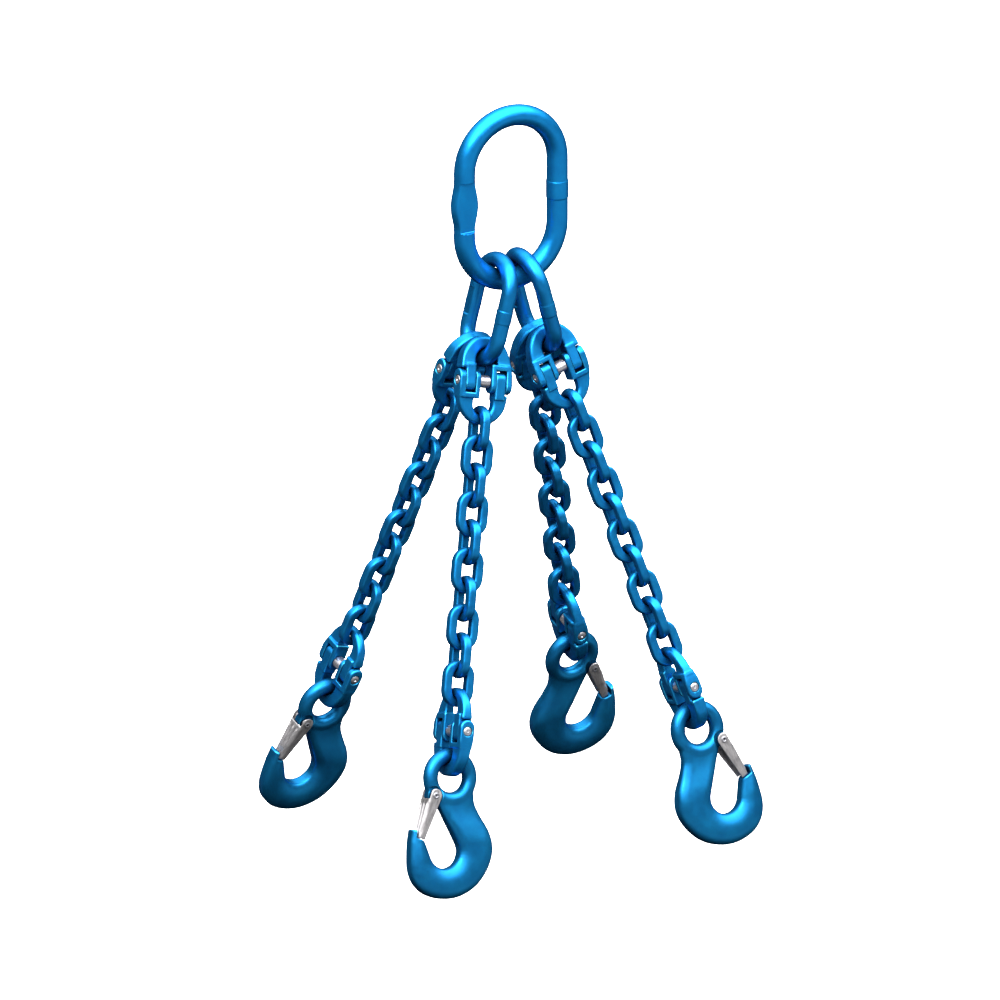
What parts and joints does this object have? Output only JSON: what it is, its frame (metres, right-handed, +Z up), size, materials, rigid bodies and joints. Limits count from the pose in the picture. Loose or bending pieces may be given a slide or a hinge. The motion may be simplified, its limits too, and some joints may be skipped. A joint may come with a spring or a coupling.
{
  "type": "four leg chain sling",
  "caption": "Chain sling with an oblong master link, intermediate links, couplings, spread chain legs and eye hooks with spring latches, in blue painted steel.",
  "frame": {"origin": "inner crown of the master link, where the lifting appliance's hook bears", "axes": "+Z up, X along the width of the master link, Y square to its plane; hooks open outwards along X"},
  "size_m": [0.4302, 0.3508, 0.8091],
  "materials": {
    "master_link_paint": "glossy blue paint on forged alloy steel, with weld ring marks",
    "intermediate_link_paint": "glossy blue paint on forged alloy steel, with weld ring marks",
    "coupling_paint": "glossy blue paint on drop forged alloy steel",
    "chain_paint": "glossy blue paint on welded alloy steel chain",
    "hook_paint": "glossy blue paint on drop forged alloy steel",
    "load_pin_steel": "bright plated steel pin and retaining sleeve",
    "latch_steel": "zinc plated folded sheet steel",
    "latch_pin_steel": "zinc plated steel pin"
  },
  "bodies": {
    "master": {"master_link": "master_link_paint"},
    "left_intermediate": {"left_intermediate_link": "intermediate_link_paint"},
    "right_intermediate": {"right_intermediate_link": "intermediate_link_paint"},
    "front_left_upper_coupling_top": {"front_left_upper_coupling_top_half": "coupling_paint", "front_left_upper_coupling_pin": "load_pin_steel"},
    "front_left_upper_coupling_bottom": {"front_left_upper_coupling_chain_half": "coupling_paint"},
    "front_left_chain_1": {"front_left_chain_1": "chain_paint"},
    "front_left_chain_2": {"front_left_chain_2": "chain_paint"},
    "front_left_chain_3": {"front_left_chain_3": "chain_paint"},
    "front_left_chain_4": {"front_left_chain_4": "chain_paint"},
    "front_left_chain_5": {"front_left_chain_5": "chain_paint"},
    "front_left_lower_coupling_top": {"front_left_lower_coupling_chain_half": "coupling_paint", "front_left_lower_coupling_pin": "load_pin_steel"},
    "front_left_lower_coupling_bottom": {"front_left_lower_coupling_hook_half": "coupling_paint"},
    "front_left_hook_body": {"front_left_hook": "hook_paint", "front_left_latch_pin": "latch_pin_steel"},
    "front_left_latch_body": {"front_left_latch": "latch_steel"},
    "front_right_upper_coupling_top": {"front_right_upper_coupling_top_half": "coupling_paint", "front_right_upper_coupling_pin": "load_pin_steel"},
    "front_right_upper_coupling_bottom": {"front_right_upper_coupling_chain_half": "coupling_paint"},
    "front_right_chain_1": {"front_right_chain_1": "chain_paint"},
    "front_right_chain_2": {"front_right_chain_2": "chain_paint"},
    "front_right_chain_3": {"front_right_chain_3": "chain_paint"},
    "front_right_chain_4": {"front_right_chain_4": "chain_paint"},
    "front_right_chain_5": {"front_right_chain_5": "chain_paint"},
    "front_right_lower_coupling_top": {"front_right_lower_coupling_chain_half": "coupling_paint", "front_right_lower_coupling_pin": "load_pin_steel"},
    "front_right_lower_coupling_bottom": {"front_right_lower_coupling_hook_half": "coupling_paint"},
    "front_right_hook_body": {"front_right_hook": "hook_paint", "front_right_latch_pin": "latch_pin_steel"},
    "front_right_latch_body": {"front_right_latch": "latch_steel"},
    "back_left_upper_coupling_top": {"back_left_upper_coupling_top_half": "coupling_paint", "back_left_upper_coupling_pin": "load_pin_steel"},
    "back_left_upper_coupling_bottom": {"back_left_upper_coupling_chain_half": "coupling_paint"},
    "back_left_chain_1": {"back_left_chain_1": "chain_paint"},
    "back_left_chain_2": {"back_left_chain_2": "chain_paint"},
    "back_left_chain_3": {"back_left_chain_3": "chain_paint"},
    "back_left_chain_4": {"back_left_chain_4": "chain_paint"},
    "back_left_chain_5": {"back_left_chain_5": "chain_paint"},
    "back_left_lower_coupling_top": {"back_left_lower_coupling_chain_half": "coupling_paint", "back_left_lower_coupling_pin": "load_pin_steel"},
    "back_left_lower_coupling_bottom": {"back_left_lower_coupling_hook_half": "coupling_paint"},
    "back_left_hook_body": {"back_left_hook": "hook_paint", "back_left_latch_pin": "latch_pin_steel"},
    "back_left_latch_body": {"back_left_latch": "latch_steel"},
    "back_right_upper_coupling_top": {"back_right_upper_coupling_top_half": "coupling_paint", "back_right_upper_coupling_pin": "load_pin_steel"},
    "back_right_upper_coupling_bottom": {"back_right_upper_coupling_chain_half": "coupling_paint"},
    "back_right_chain_1": {"back_right_chain_1": "chain_paint"},
    "back_right_chain_2": {"back_right_chain_2": "chain_paint"},
    "back_right_chain_3": {"back_right_chain_3": "chain_paint"},
    "back_right_chain_4": {"back_right_chain_4": "chain_paint"},
    "back_right_chain_5": {"back_right_chain_5": "chain_paint"},
    "back_right_lower_coupling_top": {"back_right_lower_coupling_chain_half": "coupling_paint", "back_right_lower_coupling_pin": "load_pin_steel"},
    "back_right_lower_coupling_bottom": {"back_right_lower_coupling_hook_half": "coupling_paint"},
    "back_right_hook_body": {"back_right_hook": "hook_paint", "back_right_latch_pin": "latch_pin_steel"},
    "back_right_latch_body": {"back_right_latch": "latch_steel"}
  },
  "joints": [
    {"name": "left_intermediate_swing", "type": "hinge", "parent": "master", "child": "left_intermediate", "pos_m": [-0.013, 0, -0.14879], "axis": [0, 1, 0], "range_deg": [-10, 25]},
    {"name": "right_intermediate_swing", "type": "hinge", "parent": "master", "child": "right_intermediate", "pos_m": [0.013, 0, -0.14879], "axis": [0, 1, 0], "range_deg": [-25, 10]},
    {"name": "front_left_upper_coupling_swing", "type": "hinge", "parent": "left_intermediate", "child": "front_left_upper_coupling_top", "pos_m": [-0.03974, -0.01479, -0.24858], "axis": [-0.0217, 0.9356, -0.3525], "range_deg": [-20, 25]},
    {"name": "front_left_upper_coupling_hinge", "type": "hinge", "parent": "front_left_upper_coupling_top", "child": "front_left_upper_coupling_bottom", "pos_m": [-0.04632, -0.02152, -0.27227], "axis": [0.9685, -0.0678, -0.2394], "range_deg": [-40, 20]},
    {"name": "front_left_chain_1_swing", "type": "hinge", "parent": "front_left_upper_coupling_bottom", "child": "front_left_chain_1", "pos_m": [-0.05374, -0.0294, -0.30009], "axis": [0, -0.9622, 0.2723], "range_deg": [-45, 20]},
    {"name": "front_left_chain_2_swing", "type": "hinge", "parent": "front_left_chain_1", "child": "front_left_chain_2", "pos_m": [-0.07124, -0.04794, -0.36561], "axis": [-0.9685, 0.0678, 0.2394], "range_deg": [-20, 45]},
    {"name": "front_left_chain_3_swing", "type": "hinge", "parent": "front_left_chain_2", "child": "front_left_chain_3", "pos_m": [-0.0836, -0.06105, -0.41192], "axis": [0, 0.9622, -0.2723], "range_deg": [-30, 45]},
    {"name": "front_left_chain_4_swing", "type": "hinge", "parent": "front_left_chain_3", "child": "front_left_chain_4", "pos_m": [-0.1011, -0.07959, -0.47744], "axis": [0.9685, -0.0678, -0.2394], "range_deg": [-45, 30]},
    {"name": "front_left_chain_5_swing", "type": "hinge", "parent": "front_left_chain_4", "child": "front_left_chain_5", "pos_m": [-0.11346, -0.09269, -0.52376], "axis": [0, -0.9622, 0.2723], "range_deg": [-45, 40]},
    {"name": "front_left_lower_coupling_swing", "type": "hinge", "parent": "front_left_chain_5", "child": "front_left_lower_coupling_top", "pos_m": [-0.13095, -0.11124, -0.58927], "axis": [-0.9685, 0.0678, 0.2394], "range_deg": [-40, 45]},
    {"name": "front_left_lower_coupling_hinge", "type": "hinge", "parent": "front_left_lower_coupling_top", "child": "front_left_lower_coupling_bottom", "pos_m": [-0.13838, -0.11911, -0.61709], "axis": [0, 0.9622, -0.2723], "range_deg": [-40, 40]},
    {"name": "front_left_hook_swing", "type": "hinge", "parent": "front_left_lower_coupling_bottom", "child": "front_left_hook_body", "pos_m": [-0.14494, -0.12606, -0.64165], "axis": [0.9685, -0.0678, -0.2394], "range_deg": [-45, 45]},
    {"name": "front_left_latch_turn", "type": "hinge", "parent": "front_left_hook_body", "child": "front_left_latch_body", "pos_m": [-0.1755, -0.13623, -0.67761], "axis": [0, -0.9622, 0.2723], "range_deg": [0, 35], "stiffness_Nm_per_rad": 0.02, "springref_deg": -34.38},
    {"name": "front_right_upper_coupling_swing", "type": "hinge", "parent": "right_intermediate", "child": "front_right_upper_coupling_top", "pos_m": [0.03974, -0.01479, -0.24858], "axis": [0.0217, 0.9356, -0.3525], "range_deg": [-25, 20]},
    {"name": "front_right_upper_coupling_hinge", "type": "hinge", "parent": "front_right_upper_coupling_top", "child": "front_right_upper_coupling_bottom", "pos_m": [0.04632, -0.02152, -0.27227], "axis": [0.9685, 0.0678, 0.2394], "range_deg": [-40, 20]},
    {"name": "front_right_chain_1_swing", "type": "hinge", "parent": "front_right_upper_coupling_bottom", "child": "front_right_chain_1", "pos_m": [0.05374, -0.0294, -0.30009], "axis": [0, -0.9622, 0.2723], "range_deg": [-20, 45]},
    {"name": "front_right_chain_2_swing", "type": "hinge", "parent": "front_right_chain_1", "child": "front_right_chain_2", "pos_m": [0.07124, -0.04794, -0.36561], "axis": [-0.9685, -0.0678, -0.2394], "range_deg": [-20, 45]},
    {"name": "front_right_chain_3_swing", "type": "hinge", "parent": "front_right_chain_2", "child": "front_right_chain_3", "pos_m": [0.0836, -0.06105, -0.41192], "axis": [0, 0.9622, -0.2723], "range_deg": [-45, 30]},
    {"name": "front_right_chain_4_swing", "type": "hinge", "parent": "front_right_chain_3", "child": "front_right_chain_4", "pos_m": [0.1011, -0.07959, -0.47744], "axis": [0.9685, 0.0678, 0.2394], "range_deg": [-45, 30]},
    {"name": "front_right_chain_5_swing", "type": "hinge", "parent": "front_right_chain_4", "child": "front_right_chain_5", "pos_m": [0.11346, -0.09269, -0.52376], "axis": [0, -0.9622, 0.2723], "range_deg": [-40, 45]},
    {"name": "front_right_lower_coupling_swing", "type": "hinge", "parent": "front_right_chain_5", "child": "front_right_lower_coupling_top", "pos_m": [0.13095, -0.11124, -0.58927], "axis": [-0.9685, -0.0678, -0.2394], "range_deg": [-40, 45]},
    {"name": "front_right_lower_coupling_hinge", "type": "hinge", "parent": "front_right_lower_coupling_top", "child": "front_right_lower_coupling_bottom", "pos_m": [0.13838, -0.11911, -0.61709], "axis": [0, 0.9622, -0.2723], "range_deg": [-40, 40]},
    {"name": "front_right_hook_swing", "type": "hinge", "parent": "front_right_lower_coupling_bottom", "child": "front_right_hook_body", "pos_m": [0.14494, -0.12606, -0.64165], "axis": [0.9685, 0.0678, 0.2394], "range_deg": [-45, 45]},
    {"name": "front_right_latch_turn", "type": "hinge", "parent": "front_right_hook_body", "child": "front_right_latch_body", "pos_m": [0.1755, -0.13623, -0.67761], "axis": [0, 0.9622, -0.2723], "range_deg": [0, 35], "stiffness_Nm_per_rad": 0.02, "springref_deg": -34.38},
    {"name": "back_left_upper_coupling_swing", "type": "hinge", "parent": "left_intermediate", "child": "back_left_upper_coupling_top", "pos_m": [-0.03974, 0.01479, -0.24858], "axis": [0.0217, 0.9356, 0.3525], "range_deg": [-20, 25]},
    {"name": "back_left_upper_coupling_hinge", "type": "hinge", "parent": "back_left_upper_coupling_top", "child": "back_left_upper_coupling_bottom", "pos_m": [-0.04632, 0.02152, -0.27227], "axis": [0.9685, 0.0678, -0.2394], "range_deg": [-20, 40]},
    {"name": "back_left_chain_1_swing", "type": "hinge", "parent": "back_left_upper_coupling_bottom", "child": "back_left_chain_1", "pos_m": [-0.05374, 0.0294, -0.30009], "axis": [0, -0.9622, -0.2723], "range_deg": [-45, 20]},
    {"name": "back_left_chain_2_swing", "type": "hinge", "parent": "back_left_chain_1", "child": "back_left_chain_2", "pos_m": [-0.07124, 0.04794, -0.36561], "axis": [-0.9685, -0.0678, 0.2394], "range_deg": [-45, 20]},
    {"name": "back_left_chain_3_swing", "type": "hinge", "parent": "back_left_chain_2", "child": "back_left_chain_3", "pos_m": [-0.0836, 0.06105, -0.41192], "axis": [0, 0.9622, 0.2723], "range_deg": [-30, 45]},
    {"name": "back_left_chain_4_swing", "type": "hinge", "parent": "back_left_chain_3", "child": "back_left_chain_4", "pos_m": [-0.1011, 0.07959, -0.47744], "axis": [0.9685, 0.0678, -0.2394], "range_deg": [-30, 45]},
    {"name": "back_left_chain_5_swing", "type": "hinge", "parent": "back_left_chain_4", "child": "back_left_chain_5", "pos_m": [-0.11346, 0.09269, -0.52376], "axis": [0, -0.9622, -0.2723], "range_deg": [-45, 40]},
    {"name": "back_left_lower_coupling_swing", "type": "hinge", "parent": "back_left_chain_5", "child": "back_left_lower_coupling_top", "pos_m": [-0.13095, 0.11124, -0.58927], "axis": [-0.9685, -0.0678, 0.2394], "range_deg": [-45, 40]},
    {"name": "back_left_lower_coupling_hinge", "type": "hinge", "parent": "back_left_lower_coupling_top", "child": "back_left_lower_coupling_bottom", "pos_m": [-0.13838, 0.11911, -0.61709], "axis": [0, 0.9622, 0.2723], "range_deg": [-40, 40]},
    {"name": "back_left_hook_swing", "type": "hinge", "parent": "back_left_lower_coupling_bottom", "child": "back_left_hook_body", "pos_m": [-0.14494, 0.12606, -0.64165], "axis": [0.9685, 0.0678, -0.2394], "range_deg": [-45, 45]},
    {"name": "back_left_latch_turn", "type": "hinge", "parent": "back_left_hook_body", "child": "back_left_latch_body", "pos_m": [-0.1755, 0.13623, -0.67761], "axis": [0, -0.9622, -0.2723], "range_deg": [0, 35], "stiffness_Nm_per_rad": 0.02, "springref_deg": -34.38},
    {"name": "back_right_upper_coupling_swing", "type": "hinge", "parent": "right_intermediate", "child": "back_right_upper_coupling_top", "pos_m": [0.03974, 0.01479, -0.24858], "axis": [-0.0217, 0.9356, 0.3525], "range_deg": [-25, 20]},
    {"name": "back_right_upper_coupling_hinge", "type": "hinge", "parent": "back_right_upper_coupling_top", "child": "back_right_upper_coupling_bottom", "pos_m": [0.04632, 0.02152, -0.27227], "axis": [0.9685, -0.0678, 0.2394], "range_deg": [-20, 40]},
    {"name": "back_right_chain_1_swing", "type": "hinge", "parent": "back_right_upper_coupling_bottom", "child": "back_right_chain_1", "pos_m": [0.05374, 0.0294, -0.30009], "axis": [0, -0.9622, -0.2723], "range_deg": [-20, 45]},
    {"name": "back_right_chain_2_swing", "type": "hinge", "parent": "back_right_chain_1", "child": "back_right_chain_2", "pos_m": [0.07124, 0.04794, -0.36561], "axis": [-0.9685, 0.0678, -0.2394], "range_deg": [-45, 20]},
    {"name": "back_right_chain_3_swing", "type": "hinge", "parent": "back_right_chain_2", "child": "back_right_chain_3", "pos_m": [0.0836, 0.06105, -0.41192], "axis": [0, 0.9622, 0.2723], "range_deg": [-45, 30]},
    {"name": "back_right_chain_4_swing", "type": "hinge", "parent": "back_right_chain_3", "child": "back_right_chain_4", "pos_m": [0.1011, 0.07959, -0.47744], "axis": [0.9685, -0.0678, 0.2394], "range_deg": [-30, 45]},
    {"name": "back_right_chain_5_swing", "type": "hinge", "parent": "back_right_chain_4", "child": "back_right_chain_5", "pos_m": [0.11346, 0.09269, -0.52376], "axis": [0, -0.9622, -0.2723], "range_deg": [-40, 45]},
    {"name": "back_right_lower_coupling_swing", "type": "hinge", "parent": "back_right_chain_5", "child": "back_right_lower_coupling_top", "pos_m": [0.13095, 0.11124, -0.58927], "axis": [-0.9685, 0.0678, -0.2394], "range_deg": [-45, 40]},
    {"name": "back_right_lower_coupling_hinge", "type": "hinge", "parent": "back_right_lower_coupling_top", "child": "back_right_lower_coupling_bottom", "pos_m": [0.13838, 0.11911, -0.61709], "axis": [0, 0.9622, 0.2723], "range_deg": [-40, 40]},
    {"name": "back_right_hook_swing", "type": "hinge", "parent": "back_right_lower_coupling_bottom", "child": "back_right_hook_body", "pos_m": [0.14494, 0.12606, -0.64165], "axis": [0.9685, -0.0678, 0.2394], "range_deg": [-45, 45]},
    {"name": "back_right_latch_turn", "type": "hinge", "parent": "back_right_hook_body", "child": "back_right_latch_body", "pos_m": [0.1755, 0.13623, -0.67761], "axis": [0, 0.9622, 0.2723], "range_deg": [0, 35], "stiffness_Nm_per_rad": 0.02, "springref_deg": -34.38}
  ]
}
